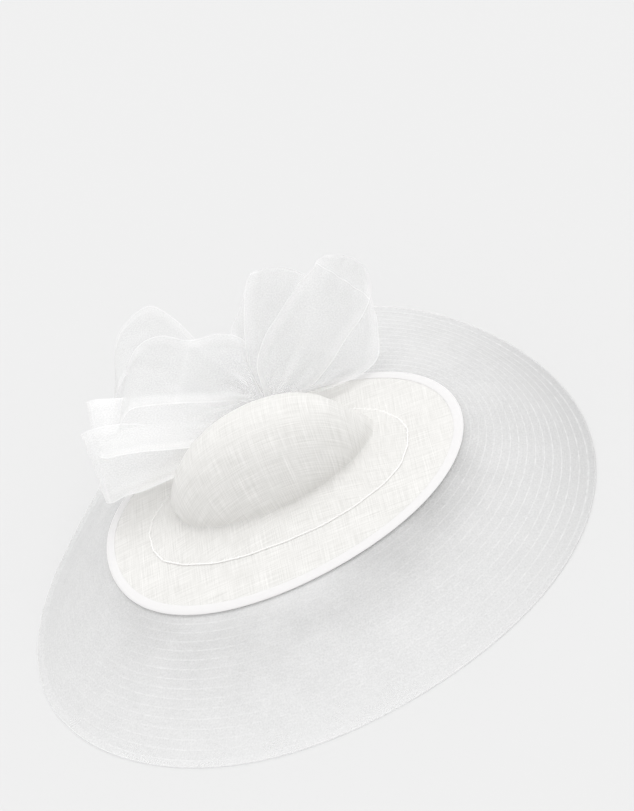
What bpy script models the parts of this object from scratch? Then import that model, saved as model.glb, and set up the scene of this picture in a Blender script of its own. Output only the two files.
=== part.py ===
"""A wide-brimmed fascinator, built at its real size in metres, with +Z up.

A see-through crin brim stands on its rim. It carries an oval sinamay disc with a bound edge.
A hollow sinamay crown stands on a flange that is stitched to the disc. Behind it a knot holds five ribbon loops.
The origin lies on the floor, under the middle of the rim's outline.
"""

import math

import bmesh
import bpy
from mathutils import Euler, Vector

# Sizes that can be set by themselves, in metres.
BRIM_LENGTH = 0.478  # the rim, across X
BRIM_WIDTH = 0.474  # the rim, across Y
CRIN_WALL = 0.001
RIM_BORDER = 0.006  # flat edge of the crin that lies on the floor
CRIN_UNDERLAP = 0.010  # crin that runs in under the disc
DISC_LENGTH = 0.316
DISC_WIDTH = 0.219
DISC_LIFT = 0.040  # the disc's underside at its edge, above the floor
DISC_SWELL = 0.007  # how far the disc's middle would stand above its edge
SINAMAY_WALL = 0.0012
BINDING_REACH = 0.0075  # binding over the disc's top
BINDING_WALL = 0.0008
FLANGE_LENGTH = 0.230
FLANGE_WIDTH = 0.128
CROWN_LENGTH = 0.163
CROWN_WIDTH = 0.086
CROWN_HEIGHT = 0.060  # the crown's top above its flange
LAY_GAP = 0.0005  # between two cloths that lie on each other
RIBBON_WIDTH = 0.060
RIBBON_WALL = 0.001
RIBBON_GATHER = 0.22  # the ribbon's width at the knot, as a share of its full width
RIBBON_SPREAD = 0.0025  # between a loop's two ends at the knot
KNOT_LENGTH = 0.036
KNOT_DIAMETER = 0.020
KNOT_TUCK = 0.0005  # how far the knot would stand off the crown's foot at its widest
COMB_LENGTH = 0.070
COMB_SPINE = 0.009
COMB_TOOTH = 0.028
COMB_TOOTH_WIDTH = 0.0022
COMB_THICKNESS = 0.002
COMB_TEETH = 12
COMB_DROP = 10.0  # degrees below level

# Places of the middles, from the middle of the rim's circle.
DISC_MIDDLE = Vector((-0.002, -0.0006))
FLANGE_MIDDLE = Vector((-0.002, -0.002))
CROWN_MIDDLE = Vector((-0.009, 0.0095))
CROWN_LEAN = Vector((0.015, 0.007))  # the crown's top, from above its middle
KNOT_SHIFT = 0.017  # the knot, from the crown's middle towards +X

# How finely the faces follow the curves.
TURN_STEPS = 60
LOOP_STEPS = 20
RIBBON_STEPS = 4
KNOT_STEPS = 16

# Waves of the plan outlines: (waves in a turn, height as a share of the radius, degrees to a crest).
RIM_WAVES = [(3, 0.050, -29.0), (4, 0.009, 3.0), (5, 0.0065, -29.0)]
DISC_WAVES = [(3, 0.0176, 12.0), (4, 0.0124, 51.0)]
FLANGE_WAVES = [(4, 0.012, 45.0)]

# The crin from under the disc's edge to its flat border: (share of the way out, share of the fall).
CRIN_SECTIONS = [(0.10, 0.05), (0.30, 0.20), (0.52, 0.42), (0.74, 0.68), (0.90, 0.89)]

# The disc from its opening to its edge: share of the way out.
DISC_SECTIONS = [0.0, 0.4, 0.8, 1.0]

# The flange from its edge to the crown's foot: share of the way in.
FLANGE_SECTIONS = [0.0, 0.5, 1.0]

# The crown from foot to top: (share of its height, share of its length and width).
CROWN_SECTIONS = [
    (0.10, 0.997),
    (0.30, 0.968),
    (0.50, 0.896),
    (0.68, 0.776),
    (0.82, 0.620),
    (0.92, 0.445),
    (0.98, 0.240),
]

# The knot along its length: (share of its length, share of its radius).
KNOT_SECTIONS = [(0.0, 0.62), (0.08, 0.84), (0.28, 0.96), (0.5, 1.0), (0.72, 0.96), (0.92, 0.84), (1.0, 0.62)]

# The bow's loops, as seen with the knot at the root. Reach and the bellies are metres, and angles are degrees:
# azimuth from +X towards +Y, rise above level, roll about the loop's own line. The near belly opens to the
# front, and the far one to the back. A high square makes that side's end blunt. Arch lifts the middle of the
# loop, span is the share of the reach that the gathers take, and crown rounds the fold at the tip.
# Along, back and up place the loop's root on the knot, as shares of its length and diameter.
LOOPS = {
    "bow_loop_tall": {
        "reach": 0.121, "azimuth": 31.9, "rise": 33.1, "roll": 11, "near": 0.012, "far": 0.022,
        "near_square": 5.0, "far_square": 2.4, "arch": 0.000, "span": 0.25, "crown": 0.003,
        "along": 0.61, "back": 0.00, "up": 0.20,
    },
    "bow_loop_rear": {
        "reach": 0.119, "azimuth": 54.3, "rise": 41.7, "roll": 98, "near": 0.006, "far": 0.012,
        "near_square": 3.0, "far_square": 2.5, "arch": 0.000, "span": 0.30, "crown": 0.019,
        "along": -0.08, "back": 0.54, "up": 0.25,
    },
    "bow_loop_middle": {
        "reach": 0.143, "azimuth": 139.0, "rise": 14.4, "roll": -73, "near": 0.005, "far": 0.028,
        "near_square": 6.0, "far_square": 5.0, "arch": 0.036, "span": 0.22, "crown": 0.000,
        "along": -0.32, "back": 0.54, "up": 0.30,
    },
    "bow_loop_upper": {
        "reach": 0.142, "azimuth": 162.2, "rise": 10.5, "roll": -65, "near": 0.004, "far": 0.004,
        "near_square": 4.0, "far_square": 4.0, "arch": 0.004, "span": 0.30, "crown": 0.000,
        "along": -0.55, "back": 0.02, "up": 0.10,
    },
    "bow_loop_lower": {
        "reach": 0.139, "azimuth": 174.6, "rise": 8.4, "roll": -77, "near": 0.004, "far": 0.004,
        "near_square": 4.0, "far_square": 4.0, "arch": 0.010, "span": 0.30, "crown": 0.000,
        "along": -0.53, "back": -0.30, "up": 0.06,
    },
}


def add_material(name, red, green, blue, roughness, alpha=1.0):
    material = bpy.data.materials.new(name)
    material.use_nodes = True
    shader = material.node_tree.nodes["Principled BSDF"]
    shader.inputs["Base Color"].default_value = (red, green, blue, 1.0)
    shader.inputs["Roughness"].default_value = roughness
    shader.inputs["Metallic"].default_value = 0.0
    shader.inputs["Alpha"].default_value = alpha
    return material


def plan_point(turn, length, width, waves, middle=Vector((0.0, 0.0))):
    """A point of a waved oval at an angle in radians."""
    swell = 1.0
    for count, height, crest in waves:
        swell += height * math.cos(count * (turn - math.radians(crest)))
    x = middle.x + 0.5 * length * math.cos(turn) * swell
    y = middle.y + 0.5 * width * math.sin(turn) * swell
    return Vector((x, y))


def rim(turn, inset=0.0):
    return plan_point(turn, BRIM_LENGTH - 2.0 * inset, BRIM_WIDTH - 2.0 * inset, RIM_WAVES)


def disc_edge(turn, inset=0.0):
    return plan_point(turn, DISC_LENGTH - 2.0 * inset, DISC_WIDTH - 2.0 * inset, DISC_WAVES, DISC_MIDDLE)


def flange_edge(turn):
    return plan_point(turn, FLANGE_LENGTH, FLANGE_WIDTH, FLANGE_WAVES, FLANGE_MIDDLE)


def crown_ring(turn, share=1.0, height=0.0):
    middle = CROWN_MIDDLE + CROWN_LEAN * height
    return plan_point(turn, CROWN_LENGTH * share, CROWN_WIDTH * share, [], middle)


def disc_under(place):
    """The height of the disc's underside over a plan point: a shallow dome that falls to the edge."""
    x = (place.x - DISC_MIDDLE.x) / (0.5 * DISC_LENGTH)
    y = (place.y - DISC_MIDDLE.y) / (0.5 * DISC_WIDTH)
    turn = math.atan2(y, x)
    edge = disc_edge(turn) - DISC_MIDDLE
    share = math.hypot(place.x - DISC_MIDDLE.x, place.y - DISC_MIDDLE.y) / edge.length
    return DISC_LIFT + DISC_SWELL * (1.0 - share * share)


def flange_top(place):
    return disc_under(place) + 2.0 * SINAMAY_WALL + LAY_GAP


def turns():
    return [2.0 * math.pi * step / TURN_STEPS for step in range(TURN_STEPS)]


def finish(name, mesh, material, collection, frame):
    """Put a mesh in the scene as a named part of the object."""
    part = bpy.data.objects.new(name, mesh)
    mesh.materials.append(material)
    collection.objects.link(part)
    part.parent = frame
    mesh.shade_smooth()
    mesh.set_sharp_from_angle(angle=math.radians(40))
    return part


def thicken(part, wall, offset):
    solid = part.modifiers.new("wall", "SOLIDIFY")
    solid.thickness = wall
    solid.offset = offset
    solid.use_even_offset = True
    return solid


def ring_mesh(name, rings):
    """An open surface through rings of points. Its first band faces up."""
    shape = bmesh.new()
    bmesh.ops.create_grid(shape, x_segments=TURN_STEPS, y_segments=len(rings) - 1, size=0.5)
    for vertex in shape.verts:
        ring = round((vertex.co.y + 0.5) * (len(rings) - 1))
        step = round((vertex.co.x + 0.5) * TURN_STEPS) % TURN_STEPS
        vertex.co = rings[ring][step]
    bmesh.ops.remove_doubles(shape, verts=shape.verts, dist=0.00001)
    shape.normal_update()
    first_band = [face for face in shape.faces if any((v.co - rings[0][0]).length < 0.00001 for v in face.verts)]
    if first_band[0].normal.z < 0.0:
        bmesh.ops.reverse_faces(shape, faces=shape.faces)
    mesh = bpy.data.meshes.new(name)
    shape.to_mesh(mesh)
    shape.free()
    return mesh


def crin_top(share):
    """The height of the crin's upper face between the disc's edge and the border."""
    under_binding = DISC_LIFT - 2.0 * LAY_GAP - BINDING_WALL
    fall = 0.0
    before = (0.0, 0.0)
    for row in CRIN_SECTIONS + [(1.0, 1.0)]:
        if share <= row[0]:
            fall = before[1] + (row[1] - before[1]) * (share - before[0]) / (row[0] - before[0])
            break
        before = row
    return CRIN_WALL + (under_binding - CRIN_WALL) * (1.0 - fall)


def make_brim(material, collection, frame):
    rings = []
    for inset, height in [(0.0, CRIN_WALL), (0.85 * RIM_BORDER, CRIN_WALL), (RIM_BORDER, CRIN_WALL)]:
        rings.append([rim(turn, inset).to_3d() + Vector((0.0, 0.0, height)) for turn in turns()])
    for share, _ in reversed([(0.0, 0.0)] + CRIN_SECTIONS):
        ring = []
        for turn in turns():
            place = disc_edge(turn).lerp(rim(turn, RIM_BORDER), share)
            ring.append(Vector((place.x, place.y, crin_top(share))))
        rings.append(ring)
    inner = []
    for turn in turns():
        place = disc_edge(turn, CRIN_UNDERLAP)
        height = disc_under(place) - 2.0 * LAY_GAP - BINDING_WALL
        inner.append(Vector((place.x, place.y, height)))
    rings.append(inner)
    part = finish("crin_brim", ring_mesh("crin_brim", rings), material, collection, frame)
    thicken(part, CRIN_WALL, -1.0)
    return part


def make_disc(material, collection, frame):
    rings = []
    for share in reversed(DISC_SECTIONS):
        ring = []
        for turn in turns():
            place = crown_ring(turn).lerp(disc_edge(turn), share)
            ring.append(Vector((place.x, place.y, disc_under(place))))
        rings.append(ring)
    part = finish("sinamay_disc", ring_mesh("sinamay_disc", rings), material, collection, frame)
    thicken(part, SINAMAY_WALL, 1.0)
    return part


def make_binding(material, collection, frame):
    """A strip folded round the disc's edge, from above the disc round to below it."""
    over = SINAMAY_WALL + LAY_GAP
    sections = [(BINDING_REACH, over), (-LAY_GAP, over), (-LAY_GAP, -LAY_GAP), (BINDING_REACH, -LAY_GAP)]
    rings = []
    for inset, rise in sections:
        ring = []
        for turn in turns():
            place = disc_edge(turn, inset)
            ring.append(Vector((place.x, place.y, disc_under(place) + rise)))
        rings.append(ring)
    part = finish("edge_binding", ring_mesh("edge_binding", rings), material, collection, frame)
    thicken(part, BINDING_WALL, 1.0)
    return part


def make_flange(material, collection, frame):
    """The flat oval that the crown stands on, stitched to the disc."""
    rings = []
    for share in FLANGE_SECTIONS:
        ring = []
        for turn in turns():
            place = flange_edge(turn).lerp(crown_ring(turn), share)
            ring.append(Vector((place.x, place.y, flange_top(place) - SINAMAY_WALL)))
        rings.append(ring)
    part = finish("crown_flange", ring_mesh("crown_flange", rings), material, collection, frame)
    thicken(part, SINAMAY_WALL, 1.0)
    return part


def make_crown(material, collection, frame):
    """The hollow crown, open below, on the flange's inner edge."""
    foot_ring = [crown_ring(turn) for turn in turns()]
    rings = [[Vector((place.x, place.y, flange_top(place) + LAY_GAP)) for place in foot_ring]]
    foot = disc_under(CROWN_MIDDLE) + SINAMAY_WALL + LAY_GAP
    for height, share in CROWN_SECTIONS:
        ring = []
        for turn in turns():
            place = crown_ring(turn, share, height)
            ring.append(Vector((place.x, place.y, foot + height * CROWN_HEIGHT)))
        rings.append(ring)
    top = (CROWN_MIDDLE + CROWN_LEAN).to_3d() + Vector((0.0, 0.0, foot + CROWN_HEIGHT))
    rings.append([top] * TURN_STEPS)
    part = finish("crown", ring_mesh("crown", rings), material, collection, frame)
    thicken(part, SINAMAY_WALL, 1.0)
    return part


def knot_middle():
    """The knot lies on the flange, close behind the crown."""
    radius = 0.5 * KNOT_DIAMETER
    x = CROWN_MIDDLE.x + KNOT_SHIFT
    y = CROWN_MIDDLE.y + 0.5 * CROWN_WIDTH + KNOT_TUCK + radius
    return Vector((x, y, flange_top(Vector((x, y))) + LAY_GAP + radius))


def make_knot(material, collection, frame):
    shape = bmesh.new()
    before = shape.verts.new((0.0, 0.0, 0.5 * KNOT_LENGTH))
    for share, radius in KNOT_SECTIONS:
        place = (0.5 * KNOT_DIAMETER * radius, 0.0, KNOT_LENGTH * (0.5 - share))
        vertex = shape.verts.new(place)
        shape.edges.new((before, vertex))
        before = vertex
    shape.edges.new((before, shape.verts.new((0.0, 0.0, -0.5 * KNOT_LENGTH))))
    mesh = bpy.data.meshes.new("bow_knot")
    shape.to_mesh(mesh)
    shape.free()
    part = finish("bow_knot", mesh, material, collection, frame)
    turned = part.modifiers.new("turned", "SCREW")
    turned.steps = KNOT_STEPS
    turned.render_steps = KNOT_STEPS
    turned.use_merge_vertices = True
    turned.merge_threshold = 0.00001
    part.location = knot_middle()
    part.rotation_euler = Euler((0.0, math.radians(90.0), 0.0))
    return part


def loop_point(row, along, across):
    """A point of a ribbon loop in its own frame: +X to the tip, +Y across the ribbon, +Z to the front."""
    turn = math.pi * along
    near = along <= 0.5
    square = row["near_square"] if near else row["far_square"]
    belly = row["near"] if near else row["far"]
    out = 1.0 - abs(math.cos(turn)) ** square
    gather = min(out / row["span"], 1.0)
    gather = gather * gather * (3.0 - 2.0 * gather)
    width = RIBBON_WIDTH * (RIBBON_GATHER + (1.0 - RIBBON_GATHER) * gather)
    x = row["reach"] * out - row["crown"] * out * out * abs(2.0 * across) ** 4
    z = belly * math.sin(2.0 * turn) + 0.5 * RIBBON_SPREAD * math.cos(turn)
    arch = row["arch"] * math.sin(math.pi * math.sqrt(max(out, 0.0)))
    return Vector((x, across * width, z)), arch


def make_loop(name, row, material, collection, frame):
    shape = bmesh.new()
    bmesh.ops.create_grid(shape, x_segments=LOOP_STEPS, y_segments=RIBBON_STEPS, size=0.5)
    turn = Euler((math.radians(row["roll"]), math.radians(-row["rise"]), math.radians(row["azimuth"])))
    sky = turn.to_matrix().inverted() @ Vector((0.0, 0.0, 1.0))
    for vertex in shape.verts:
        place, arch = loop_point(row, vertex.co.x + 0.5, vertex.co.y)
        vertex.co = place + sky * arch
    mesh = bpy.data.meshes.new(name)
    shape.to_mesh(mesh)
    shape.free()
    part = finish(name, mesh, material, collection, frame)
    thicken(part, RIBBON_WALL, 0.0)
    root = Vector((row["along"] * KNOT_LENGTH, row["back"] * KNOT_DIAMETER, row["up"] * KNOT_DIAMETER))
    part.location = knot_middle() + root
    part.rotation_euler = turn
    return part


def make_comb(material, collection, frame):
    """A flat comb under the front of the disc, with its teeth towards the front."""
    pitch = (COMB_LENGTH - COMB_TOOTH_WIDTH) / (COMB_TEETH - 1)
    points = []
    for tooth in range(COMB_TEETH):
        left = tooth * pitch
        right = left + COMB_TOOTH_WIDTH
        shoulder = -COMB_TOOTH + COMB_TOOTH_WIDTH
        middle = 0.5 * (left + right)
        points += [(left, 0.0), (left, shoulder), (middle, -COMB_TOOTH), (right, shoulder), (right, 0.0)]
    points += [(COMB_LENGTH, COMB_SPINE), (0.0, COMB_SPINE)]
    curve = bpy.data.curves.new("comb", "CURVE")
    curve.dimensions = "2D"
    curve.fill_mode = "BOTH"
    curve.extrude = 0.5 * COMB_THICKNESS
    spline = curve.splines.new("POLY")
    spline.points.add(len(points) - 1)
    for point, place in zip(spline.points, points):
        point.co = (place[0] - 0.5 * COMB_LENGTH, place[1], 0.0, 1.0)
    spline.use_cyclic_u = True
    part = bpy.data.objects.new("comb", curve)
    curve.materials.append(material)
    collection.objects.link(part)
    part.parent = frame
    opening_front = CROWN_MIDDLE.y - 0.5 * CROWN_WIDTH
    spine = opening_front - COMB_SPINE - LAY_GAP
    drop = math.radians(COMB_DROP)
    lowest = min(
        disc_under(Vector((side * 0.5 * COMB_LENGTH, place))) + (opening_front - place) * math.tan(drop)
        for side in (-1.0, 0.0, 1.0)
        for place in (opening_front, spine, spine - COMB_TOOTH)
    )
    seat = lowest - LAY_GAP - 0.5 * COMB_THICKNESS / math.cos(drop)
    part.location = (0.0, spine, seat - (opening_front - spine) * math.tan(drop))
    part.rotation_euler = Euler((drop, 0.0, 0.0))
    return part


def rim_middle():
    """The middle of the box that the rim's outline fills."""
    places = [rim(turn) for turn in turns()]
    x = [place.x for place in places]
    y = [place.y for place in places]
    return Vector((0.5 * (min(x) + max(x)), 0.5 * (min(y) + max(y))))


def make_fascinator():
    for old in list(bpy.data.objects):
        bpy.data.objects.remove(old, do_unlink=True)
    collection = bpy.data.collections.new("fascinator")
    bpy.context.scene.collection.children.link(collection)
    frame = bpy.data.objects.new("fascinator_frame", None)
    collection.objects.link(frame)
    frame.location = -rim_middle().to_3d()
    crin = add_material("white_crin", 0.80, 0.80, 0.80, 0.55, alpha=0.6)
    sinamay = add_material("ivory_sinamay", 0.90, 0.90, 0.86, 0.75)
    binding = add_material("white_bias_binding", 0.93, 0.93, 0.92, 0.60)
    organza = add_material("white_organza", 0.90, 0.90, 0.90, 0.40, alpha=0.6)
    clear = add_material("clear_plastic", 0.85, 0.85, 0.85, 0.25, alpha=0.5)
    make_brim(crin, collection, frame)
    make_disc(sinamay, collection, frame)
    make_binding(binding, collection, frame)
    make_flange(sinamay, collection, frame)
    make_crown(sinamay, collection, frame)
    make_knot(organza, collection, frame)
    for name, row in LOOPS.items():
        make_loop(name, row, organza, collection, frame)
    make_comb(clear, collection, frame)


make_fascinator()
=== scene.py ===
# %% [markdown]
# # A wide-brimmed fascinator
#
# The real object is a light summer headpiece. A see-through crin brim carries an oval of stiffened sinamay
# straw, bound at its edge. A small blocked crown sits on the oval, and a bow of sheer organza ribbon is
# tied behind it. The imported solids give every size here. This lesson dresses them as cloth.

# %% Load the frame
import math

import bpy
import numpy as np
from mathutils import Matrix, Vector, noise


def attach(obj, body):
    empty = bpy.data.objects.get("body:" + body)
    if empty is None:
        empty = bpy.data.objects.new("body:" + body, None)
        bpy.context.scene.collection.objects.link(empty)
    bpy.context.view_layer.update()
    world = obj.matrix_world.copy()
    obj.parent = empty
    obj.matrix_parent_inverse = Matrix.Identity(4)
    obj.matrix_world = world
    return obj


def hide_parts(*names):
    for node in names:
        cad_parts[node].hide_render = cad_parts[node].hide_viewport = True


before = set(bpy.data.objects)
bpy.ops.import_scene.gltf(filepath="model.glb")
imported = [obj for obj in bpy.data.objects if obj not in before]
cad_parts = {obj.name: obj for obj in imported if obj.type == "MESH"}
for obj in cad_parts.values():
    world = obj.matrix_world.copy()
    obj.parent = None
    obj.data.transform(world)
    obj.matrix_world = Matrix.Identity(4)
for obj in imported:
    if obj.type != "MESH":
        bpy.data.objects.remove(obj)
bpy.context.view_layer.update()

print("nodes:", sorted(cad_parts))

# %% [markdown]
# ## Camera and light
#
# Product pictures of white hats are taken on pale grey with very soft light, so that small steps of grey
# show the shape. The light comes from nearly overhead, which leaves the crown's steep front wall in shade.
# A high sun with a wide disc gives that without a hard shadow, and a pale sky fills the rest.

# %% Camera, floor and light
EYE = Vector((0.3498, -1.1670, 1.0898))
AIM = Vector((-0.18695, 0.74878, -0.63756))
TOP_OF_PICTURE = Vector((0.3706, 0.6833, 0.6292))

camera = bpy.data.objects.new("camera", bpy.data.cameras.new("camera"))
bpy.context.scene.collection.objects.link(camera)
toward = -AIM.normalized()
right = TOP_OF_PICTURE.cross(toward).normalized()
turned = Matrix((right, toward.cross(right), toward)).transposed().to_4x4()
turned.translation = EYE
camera.matrix_world = turned
camera.data.sensor_width = 36.0
camera.data.lens = 88.8
camera.data.dof.use_dof = False
bpy.context.scene.camera = camera


def colour(code):
    """A colour from its sRGB hex code, in the linear values that shaders take."""
    parts = [int(code[start:start + 2], 16) / 255.0 for start in (1, 3, 5)]
    linear = [part / 12.92 if part <= 0.04045 else ((part + 0.055) / 1.055) ** 2.4 for part in parts]
    return (*linear, 1.0)


def add_node(tree, kind, links=None, values=None, **settings):
    """Add one node, set it, give its sockets plain values and join it to others."""
    node = tree.nodes.new(kind)
    for name, value in settings.items():
        setattr(node, name, value)
    for name, value in (values or {}).items():
        node.inputs[name].default_value = value
    for name, source in (links or {}).items():
        tree.links.new(source, node.inputs[name])
    return node


def new_material(name, roughness, specular, code="#FFFFFF"):
    """A material, its node tree and its shader with the plain values set."""
    material = bpy.data.materials.new(name)
    material.use_nodes = True
    shader = material.node_tree.nodes["Principled BSDF"]
    shader.inputs["Base Color"].default_value = colour(code)
    shader.inputs["Roughness"].default_value = roughness
    shader.inputs["Specular IOR Level"].default_value = specular
    return material, material.node_tree, shader


bpy.ops.object.select_all(action="DESELECT")
bpy.ops.mesh.primitive_plane_add(size=60.0, location=(0.0, 0.0, -0.0004))
floor = bpy.context.object
floor.name = "floor"
paper, tree, shader = new_material("pale_grey_paper", 0.9, 0.1, "#D5D5D5")
floor.data.materials.append(paper)

sun = bpy.data.objects.new("soft_sun", bpy.data.lights.new("soft_sun", "SUN"))
sun.data.energy = 0.98
sun.data.angle = math.radians(50.0)
sun.rotation_euler = Vector((-0.33, -0.27, -0.90)).to_track_quat("-Z", "Y").to_euler()
bpy.context.scene.collection.objects.link(sun)

sky = bpy.data.worlds.new("pale_sky")
bpy.context.scene.world = sky
sky.use_nodes = True
sky.node_tree.nodes["Background"].inputs["Color"].default_value = colour("#FFFFFF")
sky.node_tree.nodes["Background"].inputs["Strength"].default_value = 1.03
bpy.context.scene.view_settings.view_transform = "Standard"
bpy.context.scene.cycles.transparent_max_bounces = 24
print("camera", [round(v, 3) for v in camera.location], "lens", camera.data.lens)

# %% [markdown]
# ## Plan outlines
#
# A brim like this is wired, and the wire is bent by hand, so its plan is a circle with a few soft waves.
# The disc is an oval that is waved in the same way. Both come from one function: an oval whose radius
# swells and sinks a few times in a turn. The sizes repeat those of the solids.

# %% Sizes and outlines
BRIM = (0.478, 0.474)
RIM_BORDER = 0.006
CRIN_WALL = 0.001
CRIN_UNDERLAP = 0.010
CRIN_DROP = 0.0007  # from the disc's underside to the crin's top, with the binding's folded edge between
DISC = (0.316, 0.219)
DISC_LIFT = 0.040
DISC_SWELL = 0.007
SINAMAY_WALL = 0.0012
LAY_GAP = 0.0005
BINDING_REACH = 0.0075
BINDING_WALL = 0.0008
FLANGE = (0.230, 0.128)
CROWN = (0.163, 0.086)
CROWN_HEIGHT = 0.0615
RIBBON_WIDTH = 0.060
KNOT_LENGTH = 0.036
KNOT_DIAMETER = 0.020

DISC_MIDDLE = (-0.002, -0.0006)
FLANGE_MIDDLE = (-0.002, -0.002)
CROWN_MIDDLE = (-0.009, 0.0095)
CROWN_LEAN = (0.015, 0.007)

# Waves in a turn, height as a share of the radius, degrees to a crest.
RIM_WAVES = [(3, 0.050, -29.0), (4, 0.009, 3.0), (5, 0.0065, -29.0)]
DISC_WAVES = [(3, 0.0176, 12.0), (4, 0.0124, 51.0)]
FLANGE_WAVES = [(4, 0.012, 45.0)]

# The crown from foot to top: share of its height, share of its length and width.
CROWN_SECTIONS = [
    (0.0, 0.955), (0.15, 1.0), (0.30, 0.985), (0.50, 0.905), (0.68, 0.786), (0.82, 0.630), (0.92, 0.450),
    (0.98, 0.240), (1.0, 0.0),
]

TURNS = 288
turn = np.linspace(0.0, 2.0 * math.pi, TURNS, endpoint=False)


def oval(turn, size, waves=(), middle=(0.0, 0.0), inset=0.0):
    """Plan points of a waved oval, as an array with x and y in its last axis."""
    swell = np.ones_like(turn)
    for count, height, crest in waves:
        swell = swell + height * np.cos(count * (turn - math.radians(crest)))
    x = middle[0] + (0.5 * size[0] - inset) * np.cos(turn) * swell
    y = middle[1] + (0.5 * size[1] - inset) * np.sin(turn) * swell
    return np.stack([x, y], axis=-1)


def disc_under(place):
    """The height of the disc's underside over plan points."""
    x = (place[..., 0] - DISC_MIDDLE[0]) / (0.5 * DISC[0])
    y = (place[..., 1] - DISC_MIDDLE[1]) / (0.5 * DISC[1])
    edge = oval(np.arctan2(y, x), DISC, DISC_WAVES, DISC_MIDDLE) - np.array(DISC_MIDDLE)
    share = np.linalg.norm(place - np.array(DISC_MIDDLE), axis=-1) / np.linalg.norm(edge, axis=-1)
    return DISC_LIFT + DISC_SWELL * (1.0 - share ** 2)


def raised(place, height):
    """Plan points with a height."""
    return np.concatenate([place, np.broadcast_to(height, place.shape[:-1])[..., None]], axis=-1)


outline = oval(turn, BRIM, RIM_WAVES)
ORIGIN = np.array([*(0.5 * (outline.min(axis=0) + outline.max(axis=0))), 0.0])
print("middle of the rim:", ORIGIN.round(4))

# %% [markdown]
# ## Cloth from a grid
#
# Cloth is a grid of threads, so each sheet here is a grid too: rows of places, with a UV map that holds the
# distance along and across the cloth in metres. A pattern on that map keeps its real size and follows the
# cloth round folds. A sheet that closes on itself joins its last column to its first.

# %% A sheet of cloth


def cloth(name, places, uv, closed=False):
    """An object from a grid of places. A closed grid has one more column of UV than of places."""
    rows, columns = places.shape[:2]
    mesh = bpy.data.meshes.new(name)
    across = columns if closed else columns - 1
    row, column = np.meshgrid(np.arange(rows - 1), np.arange(across), indexing="ij")
    row, column = row.ravel(), column.ravel()
    beside = (column + 1) % columns
    corners = np.stack([
        row * columns + column, row * columns + beside, (row + 1) * columns + beside, (row + 1) * columns + column,
    ], axis=1)
    mesh.from_pydata((places - ORIGIN).reshape(-1, 3).tolist(), [], corners.tolist())
    layer = mesh.uv_layers.new(name="threads")
    spots = np.stack([uv[row, column], uv[row, column + 1], uv[row + 1, column + 1], uv[row + 1, column]], axis=1)
    layer.data.foreach_set("uv", spots.reshape(-1).astype(np.float32))
    mesh.shade_smooth()
    piece = bpy.data.objects.new(name, mesh)
    bpy.context.scene.collection.objects.link(piece)
    return piece


def lengths(places, axis):
    """The distance along a grid's rows or columns, from its start."""
    steps = np.linalg.norm(np.diff(places, axis=axis), axis=-1)
    start = np.zeros_like(np.take(steps, [0], axis=axis))
    return np.concatenate([start, np.cumsum(steps, axis=axis)], axis=axis)


def area_of(piece):
    """The surface of a piece as shown, in square metres."""
    shown = piece.evaluated_get(bpy.context.evaluated_depsgraph_get()).to_mesh()
    return sum(face.area for face in shown.polygons)


def dress(piece, material, slot, *nodes):
    """Give a piece its material, the body it rides on and the solids it stands for."""
    piece.data.materials.append(material)
    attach(piece, "root")
    if nodes:
        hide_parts(*nodes)


def thicken(piece, amount):
    """Turn a sheet into a thin wall, its shown side kept."""
    wall = piece.modifiers.new("wall", "SOLIDIFY")
    wall.thickness = amount
    wall.offset = -1.0


def soften(piece):
    """One level of subdivision, the same for the render."""
    smooth = piece.modifiers.new("soft", "SUBSURF")
    smooth.levels = 1
    smooth.render_levels = 1


def tube(name, path, radius, sides=8):
    """A cord round a closed path, as a grid that closes both ways."""
    ahead = np.roll(path, -1, axis=0) - np.roll(path, 1, axis=0)
    ahead = ahead / np.linalg.norm(ahead, axis=-1, keepdims=True)
    side = np.cross(ahead, [0.0, 0.0, 1.0])
    side = side / np.linalg.norm(side, axis=-1, keepdims=True)
    up = np.cross(side, ahead)
    angle = np.linspace(0.0, 2.0 * math.pi, sides + 1)
    angle[-1] = angle[0]
    round_it = radius * (np.cos(angle)[:, None, None] * side + np.sin(angle)[:, None, None] * up)
    places = path[None] + round_it
    run = np.linspace(0.0, float(lengths(path, 0)[-1]), len(path) + 1)
    uv = np.stack(np.broadcast_arrays(run[None, :], np.linspace(0.0, 1.0, sides + 1)[:, None]), axis=-1)
    cord = cloth(name, places, uv, closed=True)
    bpy.ops.object.select_all(action="DESELECT")
    bpy.context.view_layer.objects.active = cord
    cord.select_set(True)
    bpy.ops.object.mode_set(mode="EDIT")
    bpy.ops.mesh.select_all(action="SELECT")
    bpy.ops.mesh.remove_doubles(threshold=0.00001)
    bpy.ops.mesh.normals_make_consistent(inside=False)
    bpy.ops.object.mode_set(mode="OBJECT")
    return cord


def pass_light(tree, shader, share, density=None):
    """Give a thin cloth light from its far side, and with a density let it show what is behind it."""
    lit = add_node(tree, "ShaderNodeBsdfTranslucent", values={"Color": shader.inputs["Base Color"].default_value})
    for link in shader.inputs["Base Color"].links:
        tree.links.new(link.from_socket, lit.inputs["Color"])
    mixed = add_node(tree, "ShaderNodeMixShader", {1: shader.outputs["BSDF"], 2: lit.outputs["BSDF"]}, {0: share})
    if density is not None:
        tree.links.new(density, shader.inputs["Alpha"])
        amount = add_node(tree, "ShaderNodeMath", {0: density}, {1: share}, operation="MULTIPLY")
        tree.links.new(amount.outputs[0], mixed.inputs[0])
    tree.links.new(mixed.outputs["Shader"], tree.nodes["Material Output"].inputs["Surface"])
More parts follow.
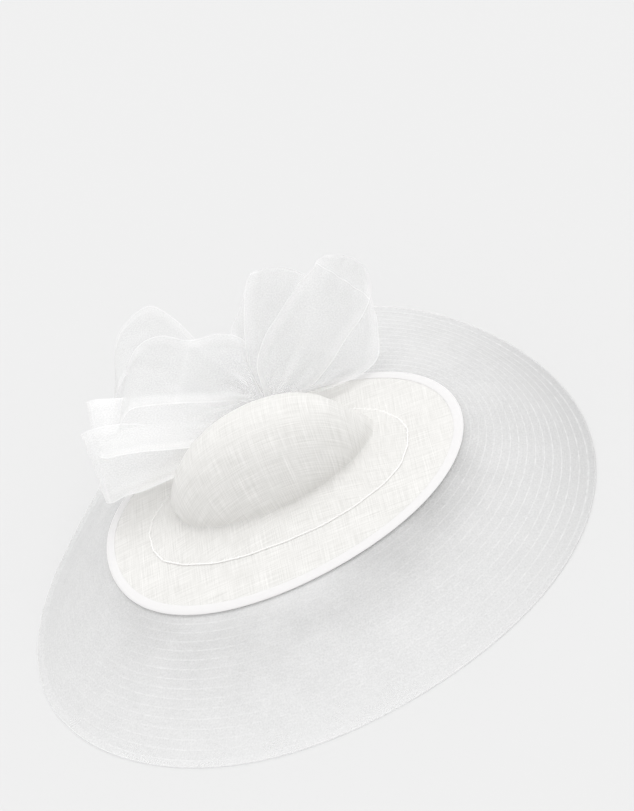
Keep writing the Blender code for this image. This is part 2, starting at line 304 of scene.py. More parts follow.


# %% [markdown]
# ## Crin
#
# Crin is a stiff braid of clear white nylon thread. The eye sees through it and reads it as a grey veil,
# with fine bright lines where the thicker drawn threads run round the brim. A glass shader would be slow
# and noisy on cloth this thin, so the veil is an alpha that the threads raise. The drawn threads show
# strongly in a few places only, where a glint is painted on them, and attributes hold that painted glint
# and the painted light and shade of the veil.

# %% Crin material
CRIN_LINES = 30  # drawn threads from the disc to the rim

crin, tree, shader = new_material("white_nylon_crin", 0.42, 0.35)
where = add_node(tree, "ShaderNodeUVMap", uv_map="threads")
parts = add_node(tree, "ShaderNodeSeparateXYZ", {"Vector": where.outputs["UV"]})
# V counts the drawn threads, so its fraction is the place between two of them.
beat = add_node(tree, "ShaderNodeMath", {0: parts.outputs["Y"]}, {1: 1.0}, operation="PINGPONG")
line = add_node(tree, "ShaderNodeMapRange", {"Value": beat.outputs[0]},
                {"From Min": 0.0, "From Max": 0.26, "To Min": 1.0, "To Max": 0.0}, interpolation_type="SMOOTHSTEP")
# Painted glint: the drawn threads show faintly everywhere and strongly where a glint is painted on them.
line_strength_and_painted_glint = add_node(tree, "ShaderNodeAttribute", attribute_name="line_strength_and_painted_glint")
# The braid's own thread is 0.2 mm, too fine to show, so its grain is drawn at 1.5 to 2 mm.
place = add_node(tree, "ShaderNodeTexCoord")
grain = add_node(tree, "ShaderNodeTexNoise", {"Vector": place.outputs["Object"]},
                 {"Scale": 700.0, "Detail": 2.0, "Roughness": 0.6})
broken_place = add_node(tree, "ShaderNodeVectorMath", {0: where.outputs["UV"]}, {1: (130.0, 1.0, 1.0)},
                        operation="MULTIPLY")
broken = add_node(tree, "ShaderNodeTexNoise", {"Vector": broken_place.outputs[0]}, {"Scale": 1.0, "Detail": 1.0})
piece_of_line = add_node(tree, "ShaderNodeMapRange", {"Value": broken.outputs["Fac"]},
                         {"From Min": 0.35, "From Max": 0.65, "To Min": 0.25, "To Max": 1.0})
strength = add_node(tree, "ShaderNodeMath", {0: line_strength_and_painted_glint.outputs["Fac"], 1: piece_of_line.outputs["Result"]},
                    operation="MULTIPLY")
lined = add_node(tree, "ShaderNodeMath", {0: line.outputs["Result"], 1: strength.outputs[0]}, operation="MULTIPLY")
grained = add_node(tree, "ShaderNodeMapRange", {"Value": grain.outputs["Fac"]},
                   {"From Min": 0.3, "From Max": 0.7, "To Min": -0.05, "To Max": 0.05})
# The braid bunches and spreads, so the veil is cloudy over a few centimetres.
cloud = add_node(tree, "ShaderNodeTexNoise", {"Vector": place.outputs["Object"]}, {"Scale": 28.0, "Detail": 2.0})
clouded = add_node(tree, "ShaderNodeMapRange", {"Value": cloud.outputs["Fac"]},
                   {"From Min": 0.3, "From Max": 0.7, "To Min": -0.04, "To Max": 0.04})
# The veil's density, with painted light at the front by the disc and painted shade at the right and left.
density_and_painted_light_shade = add_node(tree, "ShaderNodeAttribute", attribute_name="density_and_painted_light_shade")
uneven = add_node(tree, "ShaderNodeMath", {0: grained.outputs["Result"], 1: clouded.outputs["Result"]},
                  operation="ADD")
braid = add_node(tree, "ShaderNodeMath", {0: density_and_painted_light_shade.outputs["Fac"], 1: uneven.outputs[0]}, operation="ADD")
veil = add_node(tree, "ShaderNodeMath", {0: lined.outputs[0], 1: braid.outputs[0]}, operation="ADD")
# The clear braid reads grey, and the drawn threads in it white.
tint = add_node(tree, "ShaderNodeMapRange", {"Value": lined.outputs[0]},
                {"From Min": 0.0, "From Max": 0.16, "To Min": 0.0, "To Max": 1.0})
# Painted shade: this attribute greys the veil at the brim's right and left sides, most at the right rim.
grey = add_node(tree, "ShaderNodeAttribute", attribute_name="grey")
painted_shade_colour = add_node(tree, "ShaderNodeMix", {0: grey.outputs["Fac"]}, data_type="RGBA")
painted_shade_colour.inputs[6].default_value = colour("#F8F8F8")
painted_shade_colour.inputs[7].default_value = colour("#D2D2D2")
whiter = add_node(tree, "ShaderNodeMix", {0: tint.outputs["Result"], 6: painted_shade_colour.outputs[2]}, data_type="RGBA")
whiter.inputs[7].default_value = colour("#FFFFFF")
tree.links.new(whiter.outputs[2], shader.inputs["Base Color"])
pass_light(tree, shader, 0.2, veil.outputs[0])
print("crin nodes:", len(tree.nodes))

# %% [markdown]
# ## The brim
#
# The crin runs out from under the disc and falls to the wired rim, which lies flat on the table. The grid
# follows both outlines: each column goes from the disc's edge to the rim. The drawn threads stand a little
# proud of the braid, so every one of them is a low ridge in the mesh as well.

# %% Brim


def crin_height(share):
    """The crin's height from the disc's edge to its border: gentle at first, then steeper."""
    high = DISC_LIFT - CRIN_DROP - CRIN_WALL
    fall = 0.45 * share + 0.85 * share ** 2 - 0.30 * share ** 3
    return 0.5 * CRIN_WALL + high * (1.0 - fall)


edge = oval(turn, DISC, DISC_WAVES, DISC_MIDDLE)
border = oval(turn, BRIM, RIM_WAVES, inset=RIM_BORDER)
rim = oval(turn, BRIM, RIM_WAVES)
under = oval(turn, DISC, DISC_WAVES, DISC_MIDDLE, inset=CRIN_UNDERLAP)
rows = [raised(under, disc_under(under) - CRIN_DROP - 0.5 * CRIN_WALL)]
counts = [-2.5]
for share in np.linspace(0.0, 1.0, 6 * CRIN_LINES + 1):
    count = share * CRIN_LINES
    ridge = 0.00006 * math.cos(math.pi * count) ** 8
    rows.append(raised(edge + (border - edge) * share, crin_height(share) + ridge))
    counts.append(count)
for share in (0.4, 0.8, 1.0):
    rows.append(raised(border + (rim - border) * share, 0.5 * CRIN_WALL))
    counts.append(CRIN_LINES + share)
places = np.array(rows)
around = np.linspace(0.0, 1.3, TURNS + 1)
uv = np.stack(np.broadcast_arrays(around[None, :], np.array(counts)[:, None]), axis=-1)
brim = cloth("brim_crin", places, uv, closed=True)

# Where a glint is painted on the drawn threads, as if they caught the light there: azimuth in degrees,
# half width, strength.
PAINTED_GLINTS = [(-128.0, 16.0, 0.08), (-10.0, 40.0, 0.08), (50.0, 30.0, 0.06)]
# Where density is added as painted light and shade: azimuth, half width, density added at the disc and at
# the rim. By the disc at the front it is painted light over the disc's shadow; at the sides, painted shade.
# Then, in the same way, where the clear thread is painted greyer, as painted shade.
PAINTED_LIGHT_SHADE_DENSITY = [(0.0, 45.0, -0.02, 0.14), (-100.0, 55.0, 0.44, -0.06), (165.0, 40.0, 0.08, 0.04)]
PAINTED_SHADE = [(0.0, 48.0, -0.1, 1.0), (170.0, 40.0, 0.3, 0.45)]
azimuth = np.degrees(np.arctan2(places[..., 1] - DISC_MIDDLE[1], places[..., 0] - DISC_MIDDLE[0]))
reach = np.clip(np.array(counts) / CRIN_LINES, 0.0, 1.0)[:, None]


def near_azimuth(middle, width):
    """A soft bump round one azimuth."""
    return np.exp(-(((azimuth - middle + 180.0) % 360.0 - 180.0) / width) ** 2)


# Per point: the painted glint, the density with its painted light and shade, and the painted grey shade.
line_strength_and_painted_glint = 0.02 + sum(strength * near_azimuth(middle, width) for middle, width, strength in PAINTED_GLINTS)
density_and_painted_light_shade = 0.30 + sum((inner + (outer - inner) * reach ** 0.6) * near_azimuth(middle, width)
                   for middle, width, inner, outer in PAINTED_LIGHT_SHADE_DENSITY)
grey = sum((inner + (outer - inner) * reach) * near_azimuth(middle, width) for middle, width, inner, outer in PAINTED_SHADE)
for name, values in (("line_strength_and_painted_glint", line_strength_and_painted_glint), ("density_and_painted_light_shade", density_and_painted_light_shade), ("grey", grey)):
    layer = brim.data.attributes.new(name, "FLOAT", "POINT")
    layer.data.foreach_set("value", values.ravel().astype(np.float32))
dress(brim, crin, "white_crin", "crin_brim")
brim_area = area_of(brim)
print("brim faces:", len(brim.data.polygons), "area m2:", round(brim_area, 4))

# %% [markdown]
# ## The rim's wire
#
# The crin's edge is turned over a fine wire, which shows as a thin denser line. A thin cord of nylon does that.

# %% Rim wire
nylon, tree, shader = new_material("white_nylon_edge", 0.4, 0.4, "#F6F6F6")
place = add_node(tree, "ShaderNodeTexCoord")
grain = add_node(tree, "ShaderNodeTexNoise", {"Vector": place.outputs["Object"]}, {"Scale": 300.0, "Detail": 1.0})
dense = add_node(tree, "ShaderNodeMapRange", {"Value": grain.outputs["Fac"]}, {"To Min": 0.03, "To Max": 0.18})
pass_light(tree, shader, 0.4, dense.outputs["Result"])
wire = tube("rim_wire", raised(oval(turn, BRIM, RIM_WAVES, inset=0.0006), 0.0008), 0.0006)
dress(wire, nylon, "white_crin")
print("wire faces:", len(wire.data.polygons))

# %% [markdown]
# ## Sinamay
#
# Sinamay is woven from banana fibre and stiffened. Its threads are uneven: some are thick and pale, some
# leave a gap that shows darker, and short slubs catch the light. Noise that is stretched along each thread
# gives the threads and makes some of them thick, thin or missing.

# %% Sinamay material
THREAD = 0.0014  # the real threads are 1.2 mm apart, drawn a little coarser so that they show

sinamay, tree, shader = new_material("ivory_sinamay_straw", 0.75, 0.2)
where = add_node(tree, "ShaderNodeUVMap", uv_map="threads")
layers = []
for name, ahead, across in (("warp", 0, 1), ("weft", 1, 0)):
    stretch = [1.0, 1.0, 1.0]
    stretch[ahead] = 38.0
    stretch[across] = 1.7 / THREAD
    place = add_node(tree, "ShaderNodeVectorMath", {0: where.outputs["UV"]}, {1: tuple(stretch)},
                     operation="MULTIPLY")
    threads = add_node(tree, "ShaderNodeTexNoise", {"Vector": place.outputs[0]},
                       {"Scale": 1.0, "Detail": 1.0, "Roughness": 0.6})
    stretch[ahead] = 13.0
    stretch[across] = 1.3 / THREAD
    place = add_node(tree, "ShaderNodeVectorMath", {0: where.outputs["UV"]}, {1: tuple(stretch)},
                     operation="MULTIPLY")
    slub = add_node(tree, "ShaderNodeTexNoise", {"Vector": place.outputs[0]}, {"Scale": 1.0, "Detail": 1.0})
    peak = add_node(tree, "ShaderNodeMapRange", {"Value": slub.outputs["Fac"]},
                    {"From Min": 0.62, "From Max": 0.72, "To Min": 0.0, "To Max": 0.26})
    layers.append(add_node(tree, "ShaderNodeMath", {0: threads.outputs["Fac"], 1: peak.outputs["Result"]},
                           operation="ADD", label=name))
woven = add_node(tree, "ShaderNodeMix", {2: layers[0].outputs[0], 3: layers[1].outputs[0]}, {0: 0.5})
tone = add_node(tree, "ShaderNodeValToRGB", {"Fac": woven.outputs[0]})
tone.color_ramp.elements[0].position = 0.33
tone.color_ramp.elements[0].color = colour("#DDDCD9")
tone.color_ramp.elements[1].position = 0.76
tone.color_ramp.elements[1].color = colour("#F6F5F3")
tree.links.new(tone.outputs["Color"], shader.inputs["Base Color"])
bump = add_node(tree, "ShaderNodeBump", {"Height": woven.outputs[0]}, {"Strength": 0.4, "Distance": 0.0007})
tree.links.new(bump.outputs["Normal"], shader.inputs["Normal"])
pass_light(tree, shader, 0.14)
print("sinamay nodes:", len(tree.nodes))

# %% [markdown]
# ## The disc
#
# The disc is one layer of sinamay cut as an oval, open under the crown, and it domes a little towards its
# middle. Its weave lies straight, along the oval's length and across it, so its UV map is the plan itself.

# %% Disc
crown_foot = oval(turn, CROWN, (), CROWN_MIDDLE)
rows = []
for share in np.linspace(1.0, 0.0, 25):
    place = crown_foot + (edge - crown_foot) * share
    rows.append(raised(place, disc_under(place) + SINAMAY_WALL - 0.0002))
places = np.array(rows)
uv = np.concatenate([places[..., :2], places[:, :1, :2]], axis=1)
disc = cloth("disc_sinamay", places, uv, closed=True)
thicken(disc, 0.0008)
dress(disc, sinamay, "ivory_sinamay", "sinamay_disc")
disc_area = 0.5 * area_of(disc)
print("disc area m2:", round(disc_area, 4))

# %% [markdown]
# ## The binding
#
# A bias strip of white cotton is folded over the disc's edge and stitched down. It makes the brightest line
# on the hat. Its outline is a flat U with a soft roll outside, and the cloth puckers a little at the stitches.

# %% Binding material and strip
bias, tree, shader = new_material("white_cotton_bias", 0.65, 0.25, "#F1F0F0")
where = add_node(tree, "ShaderNodeUVMap", uv_map="threads")
# A bias strip is cut at 45 degrees, so its weave runs slantwise.
slant = add_node(tree, "ShaderNodeMapping", {"Vector": where.outputs["UV"]},
                 {"Rotation": (0.0, 0.0, math.radians(45.0))})
weave = add_node(tree, "ShaderNodeTexNoise", {"Vector": slant.outputs["Vector"]}, {"Scale": 900.0, "Detail": 2.0})
bump = add_node(tree, "ShaderNodeBump", {"Height": weave.outputs["Fac"]}, {"Strength": 0.35, "Distance": 0.0003})
tree.links.new(bump.outputs["Normal"], shader.inputs["Normal"])

pass_light(tree, shader, 0.2)

over = SINAMAY_WALL + BINDING_WALL
below = -0.0003
BINDING_OUTLINE = [
    (BINDING_REACH, SINAMAY_WALL - 0.0002), (BINDING_REACH, SINAMAY_WALL + 0.0003), (0.0060, over - 0.0004),
    (0.0035, over - 0.0002),
    (0.0012, over - 0.0003), (-0.0003, over - 0.0008), (-0.0008, 0.5 * (over + below)), (-0.0003, below + 0.0005),
    (0.0012, below), (0.0045, below), (BINDING_REACH, below),
]
run = np.linspace(0.0, 0.85, TURNS + 1)
pucker = 0.00013 * np.sin(turn * 97.0) + 0.00010 * np.sin(turn * 61.0 + 1.0)
rows = []
for inset, rise in BINDING_OUTLINE:
    place = oval(turn, DISC, DISC_WAVES, DISC_MIDDLE, inset=inset)
    rows.append(raised(place, disc_under(place) + rise + pucker * (inset > 0.002)))
places = np.array(rows)
uv = np.stack(np.broadcast_arrays(run[None, :], np.linspace(0.0, 0.02, len(rows))[:, None]), axis=-1)
binding = cloth("edge_binding_strip", places, uv, closed=True)
soften(binding)
dress(binding, bias, "white_bias_binding", "edge_binding")
print("binding area m2:", round(area_of(binding), 4))

# %% [markdown]
# ## The crown
#
# The crown and its flange are one piece of sinamay, steamed over a block. The flange lies on the disc, and
# the cloth turns up from it sharply. The UV map is measured over the surface, so the threads keep their
# distance on the steep walls.

# %% Crown and flange
flange_edge = oval(turn, FLANGE, FLANGE_WAVES, FLANGE_MIDDLE)
top_of_flange = 2.0 * SINAMAY_WALL + LAY_GAP


def crown_ring(share, height):
    """A level ring of the crown, which leans a little towards its top and flares at the back right of its foot."""
    middle = (CROWN_MIDDLE[0] + CROWN_LEAN[0] * height, CROWN_MIDDLE[1] + CROWN_LEAN[1] * height)
    ring = oval(turn, (CROWN[0] * share, CROWN[1] * share), (), middle)
    away = (np.degrees(turn) - 30.0 + 180.0) % 360.0 - 180.0
    flare = 0.30 * np.exp(-(away / 48.0) ** 2) * max(0.0, 1.0 - height / 0.75) ** 3
    return np.array(middle) + (ring - np.array(middle)) * (1.0 + flare[:, None])


def on_flange(share, rise):
    """A ring of the flange, from its edge (0) to the crown's foot (1)."""
    place = flange_edge + (crown_ring(CROWN_SECTIONS[0][1], 0.0) - flange_edge) * share
    return raised(place, disc_under(place) + top_of_flange + rise)


rows = [on_flange(share, rise) for share, rise in
        ((0.0, -0.0013), (0.08, -0.0009), (0.3, -0.0003), (0.6, 0.0), (0.85, 0.0), (0.96, 0.0001), (0.995, 0.0002))]
foot = float(disc_under(np.array(CROWN_MIDDLE))) + top_of_flange - 0.001
levels = np.array([row[0] for row in CROWN_SECTIONS])
shares = np.array([row[1] for row in CROWN_SECTIONS])
for height in np.sin(np.linspace(0.02, 0.5 * math.pi, 32)):
    share = 0.0 if height > 0.9999 else float(np.interp(height, levels, shares))
    rows.append(raised(crown_ring(share, height), foot + height * CROWN_HEIGHT))
places = np.array(rows)
# The steep walls use more cloth than their plan shows, and the block stretches it mostly across the crown.
spare = lengths(places[::-1], 0)[::-1] - np.linalg.norm(places[..., :2] - places[-1, 0, :2], axis=-1)
uv = places[..., :2] + spare[..., None] * np.stack([0.25 * np.cos(turn), np.sin(turn)], axis=-1)
uv = np.concatenate([uv, uv[:, :1]], axis=1)
crown = cloth("crown_sinamay", places, uv, closed=True)
soften(crown)
dress(crown, sinamay, "ivory_sinamay", "crown", "crown_flange")
crown_area = area_of(crown)
print("crown area m2:", round(crown_area, 4))

# %% [markdown]
# ## The flange's rolled edge
#
# The flange's raw edge is rolled under and sewn down by hand. It shows as a thin bright line with a thin
# shadow under it and small stitches along it. The roll is a cord, and one stitch is copied along it.

# %% Rolled edge and stitches
straw, tree, shader = new_material("cream_rolled_straw", 0.6, 0.3, "#EFEEEC")
where = add_node(tree, "ShaderNodeUVMap", uv_map="threads")
twist_place = add_node(tree, "ShaderNodeVectorMath", {0: where.outputs["UV"]}, {1: (420.0, 3.0, 1.0)},
                       operation="MULTIPLY")
twist = add_node(tree, "ShaderNodeTexNoise", {"Vector": twist_place.outputs[0]}, {"Scale": 1.0, "Detail": 2.0})
bump = add_node(tree, "ShaderNodeBump", {"Height": twist.outputs["Fac"]}, {"Strength": 0.4, "Distance": 0.0003})
tree.links.new(bump.outputs["Normal"], shader.inputs["Normal"])
wander = 0.00045 * np.sin(turn * 9.0 + 0.6) + 0.0003 * np.sin(turn * 23.0)
path = flange_edge * (1.0 + wander[:, None] / 0.1)
roll = tube("flange_rolled_edge", raised(path, disc_under(path) + SINAMAY_WALL + 0.0003), 0.0007)
dress(roll, straw, "ivory_sinamay")

# One stitch is modelled lying along X, then copied across the roll about every 9 mm, each a little aslant.
bpy.ops.mesh.primitive_uv_sphere_add(segments=8, ring_count=6, radius=1.0)
stitch = bpy.context.object
stitch.name = "flange_stitches"
shape = np.array([corner.co[:] for corner in stitch.data.vertices]) * (0.0016, 0.00035, 0.0003)
faces = [tuple(face.vertices) for face in stitch.data.polygons]
corners, polygons = [], []
for step in range(0, TURNS, 5):
    outward = path[step] - np.array(FLANGE_MIDDLE)
    slant = math.atan2(outward[1], outward[0]) + 0.5
    x = shape[:, 0] * math.cos(slant) - shape[:, 1] * math.sin(slant)
    y = shape[:, 0] * math.sin(slant) + shape[:, 1] * math.cos(slant)
    height = float(disc_under(path[step])) + SINAMAY_WALL + 0.0011
    polygons += [tuple(corner + len(corners) for corner in face) for face in faces]
    corners += (np.stack([x + path[step, 0], y + path[step, 1], shape[:, 2] + height], axis=-1) - ORIGIN).tolist()
stitch.data.clear_geometry()
stitch.data.from_pydata(corners, [], polygons)
stitch.data.shade_smooth()
cotton, tree, shader = new_material("white_sewing_thread", 0.7, 0.2, "#F4F4F3")
place = add_node(tree, "ShaderNodeTexCoord")
ply = add_node(tree, "ShaderNodeTexNoise", {"Vector": place.outputs["Object"]}, {"Scale": 2500.0, "Detail": 1.0})
bump = add_node(tree, "ShaderNodeBump", {"Height": ply.outputs["Fac"]}, {"Strength": 0.4, "Distance": 0.0001})
tree.links.new(bump.outputs["Normal"], shader.inputs["Normal"])
dress(stitch, cotton, "ivory_sinamay")
print("rolled edge faces:", len(roll.data.polygons), "stitch faces:", len(polygons))

# %% [markdown]
# ## Organza
#
# Organza is a sheer plain weave of fine stiff thread. One layer hardly shows and two layers read as a pale
# grey, so the folds and overlaps draw the bow. The selvedges are woven closer and show as thin pale lines.

# %% Organza material
organza, tree, shader = new_material("white_silk_organza", 0.5, 0.3)
shader.inputs["Sheen Weight"].default_value = 0.1
where = add_node(tree, "ShaderNodeUVMap", uv_map="threads")
parts = add_node(tree, "ShaderNodeSeparateXYZ", {"Vector": where.outputs["UV"]})
# V is the distance from the ribbon's middle. The weave closes over the last 5 mm, most in the last 0.8 mm.
side = add_node(tree, "ShaderNodeMath", {0: parts.outputs["Y"]}, operation="ABSOLUTE")
close = add_node(tree, "ShaderNodeMapRange", {"Value": side.outputs[0]},
                 {"From Min": 0.018, "From Max": 0.028, "To Min": 0.0, "To Max": 0.14}, interpolation_type="SMOOTHSTEP")
selvedge = add_node(tree, "ShaderNodeMapRange", {"Value": side.outputs[0]},
                    {"From Min": 0.0286, "From Max": 0.0292, "To Min": 0.0, "To Max": 0.07})
grain_place = add_node(tree, "ShaderNodeVectorMath", {0: where.outputs["UV"]}, {1: (700.0, 900.0, 1.0)},
                       operation="MULTIPLY")
grain = add_node(tree, "ShaderNodeTexNoise", {"Vector": grain_place.outputs[0]}, {"Scale": 1.0, "Detail": 1.0})
veil = add_node(tree, "ShaderNodeMapRange", {"Value": grain.outputs["Fac"]},
                {"From Min": 0.3, "From Max": 0.7, "To Min": 0.27, "To Max": 0.35})
# A loop that is seen face on lets more through than one that is seen aslant, and a crease lets less through.
sheer = add_node(tree, "ShaderNodeAttribute", attribute_name="sheer")
veiled = add_node(tree, "ShaderNodeMath", {0: veil.outputs["Result"], 1: sheer.outputs["Fac"]},
                  operation="MULTIPLY")
crease = add_node(tree, "ShaderNodeAttribute", attribute_name="crease")
edged = add_node(tree, "ShaderNodeMath", {0: close.outputs["Result"], 1: selvedge.outputs["Result"]},
                 operation="ADD")
closer = add_node(tree, "ShaderNodeMath", {0: edged.outputs[0], 1: crease.outputs["Fac"]}, operation="ADD")
dense = add_node(tree, "ShaderNodeMath", {0: veiled.outputs[0], 1: closer.outputs[0]}, operation="ADD")
white = add_node(tree, "ShaderNodeMapRange", {"Value": closer.outputs[0]}, {"From Max": 0.3})
# Painted shade: the grey attribute darkens the tall, rear and middle loops more than the upper and lower.
grey = add_node(tree, "ShaderNodeAttribute", attribute_name="grey")
painted_shade_colour = add_node(tree, "ShaderNodeMix", {0: grey.outputs["Fac"]}, data_type="RGBA")
painted_shade_colour.inputs[6].default_value = colour("#FCFCFC")
painted_shade_colour.inputs[7].default_value = colour("#C8C8C8")
whiter = add_node(tree, "ShaderNodeMix", {0: white.outputs["Result"], 6: painted_shade_colour.outputs[2]}, data_type="RGBA")
whiter.inputs[7].default_value = colour("#FFFFFF")
tree.links.new(whiter.outputs[2], shader.inputs["Base Color"])
pass_light(tree, shader, 0.6, dense.outputs[0])
print("organza nodes:", len(tree.nodes))

# %% [markdown]
# ## The bow's loops
#
# Each loop is a length of 60 mm ribbon that leaves the knot in pleats, opens to its full width, turns at the
# tip and comes back. A loop is given by its two selvedges: a few pairs of points, in millimetres from the
# knot's middle, that are never further apart than the ribbon is wide. Where they are closer, the rest of the
# width is folded into pleats. The last two numbers push the ribbon's middle outwards at the tip and bow it.

# %% Loop table
LOOPS = {
    "tall": [
        (1, 17, 7, 11, 9, 7, 0, 0), (5, 26, 36, 31, 14, 0, 0, 3),
        (18, 33, 52, 54, 20, 8, 0, 4), (40, 40, 66, 79, 31, 21, 0, 4),
        (64, 49, 79, 96, 37, 29, 0, 2), (82, 51, 87, 108, 48, 34, 0, 1), (84, 53, 88, 109, 51, 34, 1, 0),
        (86, 57, 87, 110, 61, 32, 3, 0), (91, 62, 84, 112, 82, 32, 5, 0),
        (91, 70, 77, 110, 95, 26, 6, 0), (81, 72, 63, 104, 84, 9, 3, 0),
        (61, 68, 40, 101, 52, -3, 0, 0), (40, 44, 27, 92, 26, -9, 0, 0),
        (21, 26, 17, 60, 15, -8, 0, 0), (5, 22, 5, 13, 12, 5, 0, 0),
    ],
    "rear": [
        (-3, 17, 12, 4, 22, 2, 0, 0), (-4, 32, 35, 20, 42, 4, 0, 2),
        (4, 47, 54, 41, 57, 13, 0, 3), (13, 63, 70, 56, 70, 29, 0, 3),
        (21, 74, 81, 64, 82, 40, 3, 2), (27, 80, 84, 66, 97, 41, 6, 0),
        (25, 87, 78, 59, 109, 34, 7, 0), (13, 86, 65, 47, 109, 21, 4, 0),
        (2, 78, 54, 33, 101, 8, 0, 0), (-11, 69, 43, 21, 82, -1, 0, 0),
        (-10, 45, 26, 9, 54, -4, 0, 0), (-1, 22, 10, 2, 29, 0, 0, 0),
    ],
    "middle": [
        (-2, 25, 11, -9, 13, 11, 0, 0), (1, 51, 41, -23, 10, 25, 0, 2),
        (-14, 57, 57, -41, 8, 35, 0, 3), (-40, 59, 62, -64, 5, 49, 0, 0),
        (-60, 59, 78, -85, 11, 53, 0, 4), (-83, 64, 73, -100, 8, 59, 0, 3),
        (-101, 62, 59, -112, 3, 54, 0, 1), (-114, 59, 44, -119, 0, 47, 1, 0),
        (-114, 73, 49, -120, 13, 46, 1, 0), (-110, 91, 60, -114, 31, 55, 0, 0),
        (-96, 109, 67, -101, 50, 61, 0, 0), (-69, 110, 74, -86, 61, 44, 0, 0),
        (-53, 99, 56, -73, 47, 33, 0, 0), (-37, 75, 32, -51, 28, 27, 0, 0),
        (-12, 32, 13, -17, 20, 12, 0, 0),
    ],
    "upper": [
        (-10, 17, 13, -13, 6, 15, 0, 0), (-32, 24, 19, -42, -20, 20, 0, 3),
        (-57, 30, 33, -70, -28, 32, 0, 4), (-87, 31, 47, -97, -28, 42, 0, 4),
        (-113, 33, 57, -117, -26, 48, 0, 3), (-130, 37, 61, -130, -21, 46, 1, 1),
        (-139, 45, 56, -137, -14, 45, 1, 0), (-143, 55, 48, -136, -5, 46, 0, 0),
        (-126, 60, 37, -120, 0, 36, 0, 0), (-96, 57, 26, -96, -3, 23, 0, 0),
        (-64, 50, 15, -69, -7, 15, 0, 0), (-34, 35, 8, -42, -6, 10, 0, 0),
        (-13, 21, 9, -16, 10, 12, 0, 0),
    ],
    "lower": [
        (-13, 14, 14, -17, 3, 15, 0, 0), (-32, 12, 19, -49, -29, 15, 0, 3),
        (-60, 10, 27, -80, -46, 22, 0, 4), (-88, 5, 38, -107, -50, 24, 0, 5),
        (-114, 4, 54, -126, -45, 22, 0, 3), (-134, 2, 61, -141, -39, 15, 0, 1),
        (-147, 11, 54, -148, -33, 13, 0, 0), (-151, 25, 42, -145, -29, 15, 0, 0),
        (-128, 33, 31, -124, -23, 10, 0, 0), (-99, 36, 18, -97, -23, 9, 0, 0),
        (-67, 33, 13, -70, -23, 8, 0, 0), (-33, 25, 11, -43, -11, 9, 0, 0),
        (-16, 18, 11, -18, 6, 14, 0, 0),
    ],
}
print({name: len(rows) for name, rows in LOOPS.items()})

# %% [markdown]
# A smooth curve runs through each column of the table. Across the ribbon the grid has 48 steps, which is
# enough for four pleats. Noise in the mesh adds the small unevenness of cloth that has been handled.

# %% Loops
KNOT_MIDDLE = np.array([0.0087, 0.0520, 0.0578]) + ORIGIN
STEPS_ALONG = 12
STEPS_ACROSS = 48
PLEATS = 3.5


def through(points, steps):
    """A smooth curve through the rows of a table."""
    run = np.concatenate([[0.0], np.cumsum(np.linalg.norm(np.diff(points, axis=0), axis=1) ** 0.5)])
    slope = np.gradient(points, run, axis=0)
    curve = []
    for start in range(len(points) - 1):
        gap = run[start + 1] - run[start]
        for t in np.arange(steps) / steps:
            curve.append((2 * t ** 3 - 3 * t ** 2 + 1) * points[start] + (t ** 3 - 2 * t ** 2 + t) * gap * slope[start]
                         + (3 * t ** 2 - 2 * t ** 3) * points[start + 1] + (t ** 3 - t ** 2) * gap * slope[start + 1])
    return np.array([*curve, points[-1]])


def ribbon_places(table, seed):
    """The grid of a loop, from the knot round the tip and back to the knot."""
    table = through(np.array(table, dtype=float) / 1000.0, STEPS_ALONG)
    one, other = table[:, None, 0:3], table[:, None, 3:6]
    across = np.linspace(0.0, 1.0, STEPS_ACROSS + 1)[None, :, None]
    places = one + (other - one) * across
    gap = np.linalg.norm(other - one, axis=-1, keepdims=True)
    round_share = 1.0 - (2.0 * across - 1.0) ** 2
    outward = 0.5 * (one + other)
    outward = outward / np.linalg.norm(outward, axis=-1, keepdims=True)
    along = np.gradient(places, axis=0)
    facing = np.cross(other - one, along)
    facing = facing / np.maximum(np.linalg.norm(facing, axis=-1, keepdims=True), 1e-9)
    spare = np.sqrt(np.maximum(RIBBON_WIDTH ** 2 - gap ** 2, 0.0)) / (4.0 * PLEATS)
    pleat = spare * np.cos(2.0 * math.pi * PLEATS * across + seed)
    places = places + outward * table[:, None, 6:7] * round_share
    places = places + facing * (table[:, None, 7:8] * round_share + pleat)
    for place in places.reshape(-1, 3):
        spot = Vector(place * 42.0) + Vector((seed, 0.0, 0.0))
        place += 0.0008 * np.array(noise.noise_vector(spot))
    return KNOT_MIDDLE + places


def mark(piece, sheer, grey, crease):
    """Store a ribbon's density, its painted shade and where it is creased, for the organza."""
    for name, values in (("sheer", sheer), ("grey", grey), ("crease", crease)):
        layer = piece.data.attributes.new(name, "FLOAT", "POINT")
        layer.data.foreach_set("value", np.broadcast_to(values, places.shape[:2]).ravel().astype(np.float32))
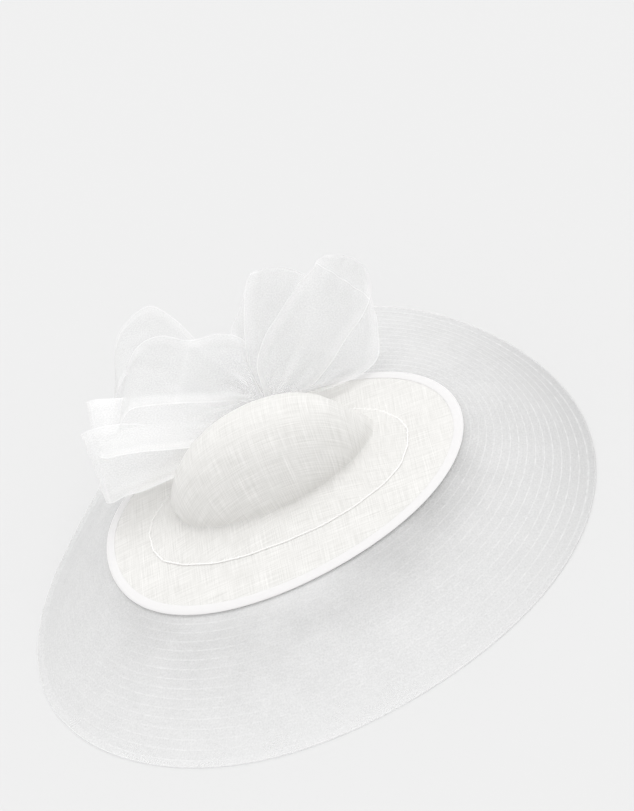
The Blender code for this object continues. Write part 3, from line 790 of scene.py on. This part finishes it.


# How dense each loop looks, how grey its painted shade makes it, then its creases: the row of the table of
# each, and its strength.
LOOKS = {
    "tall": (0.9, 0.35, [(6.0, 0.16)]), "rear": (0.9, 0.35, [(5.0, 0.04)]),
    "middle": (0.8, 0.45, [(3.0, 0.03), (6.5, 0.03)]),
    "upper": (1.0, 0.10, [(5.5, 0.08)]), "lower": (1.0, 0.10, [(5.3, 0.08)]),
}
for seed, (name, table) in enumerate(LOOPS.items()):
    places = ribbon_places(table, float(seed))
    middle = lengths(places, 0)[:, STEPS_ACROSS // 2]
    width = np.linspace(-0.5, 0.5, STEPS_ACROSS + 1) * RIBBON_WIDTH
    uv = np.stack(np.broadcast_arrays(middle[:, None], width[None, :]), axis=-1)
    loop = cloth(f"ribbon_loop_{name}", places, uv)
    sheer, grey, creases = LOOKS[name]
    row = np.arange(len(places)) / STEPS_ALONG
    crease = sum(strength * np.exp(-((row - place) / 0.12) ** 2) for place, strength in creases)
    # Many layers meet at the knot, so each is drawn thinner there, and its painted shade fades out towards the
    # knot, as painted light where the layers shade each other.
    opened = np.clip(np.linalg.norm(places - KNOT_MIDDLE, axis=-1) / 0.06, 0.0, 1.0)
    mark(loop, sheer * (0.35 + 0.65 * opened), grey * opened, crease[:, None])
    dress(loop, organza, "white_organza", f"bow_loop_{name}")
    flat = (RIBBON_WIDTH, round(float(middle[-1]), 3))
    print(loop.name, "ribbon m:", flat, "area share:", round(area_of(loop) / flat[0] / flat[1], 2))

# %% [markdown]
# ## The knot
#
# A short length of the same ribbon is wrapped round the loops' roots. Its pleats run round the knot, and its
# ends are drawn in.

# %% Knot
rows = []
for share in np.linspace(0.0, 1.0, 73):
    pinch = 0.55 + 0.45 * math.sin(math.pi * share) ** 0.6
    ripple = 1.0 + 0.17 * math.cos(2.0 * math.pi * 6.0 * share)
    radius = 0.43 * KNOT_DIAMETER * pinch * ripple * (1.0 + 0.05 * np.cos(3.0 * turn[::4]))
    x = np.full(radius.shape, KNOT_LENGTH * (share - 0.5))
    ring = np.stack([x, radius * np.cos(turn[::4]), radius * np.sin(turn[::4])], axis=-1)
    rows.append(KNOT_MIDDLE + ring)
places = np.array(rows)
run = np.linspace(0.0, 0.052, places.shape[1] + 1)
uv = np.stack(np.broadcast_arrays(run[None, :], np.linspace(-0.03, 0.03, len(rows))[:, None]), axis=-1)
knot = cloth("ribbon_knot", places, uv, closed=True)
mark(knot, 1.0, 0.0, 0.1)
dress(knot, organza, "white_organza", "bow_knot")
print("knot area m2:", round(area_of(knot), 5))

# %% [markdown]
# ## Comb
#
# The comb under the disc is plain clear plastic. Its solid already has the right shape.

# %% Comb
plastic, tree, shader = new_material("clear_moulded_plastic", 0.12, 0.5, "#EDEDED")
place = add_node(tree, "ShaderNodeTexCoord")
flow = add_node(tree, "ShaderNodeTexNoise", {"Vector": place.outputs["Object"]}, {"Scale": 60.0, "Detail": 1.0})
bump = add_node(tree, "ShaderNodeBump", {"Height": flow.outputs["Fac"]}, {"Strength": 0.1, "Distance": 0.0005})
tree.links.new(bump.outputs["Normal"], shader.inputs["Normal"])
haze = add_node(tree, "ShaderNodeMapRange", {"Value": flow.outputs["Fac"]}, {"To Min": 0.35, "To Max": 0.6})
tree.links.new(haze.outputs["Result"], shader.inputs["Alpha"])
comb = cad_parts["comb"]
comb.data.materials.clear()
comb.data.materials.append(plastic)
print("comb:", comb.name)
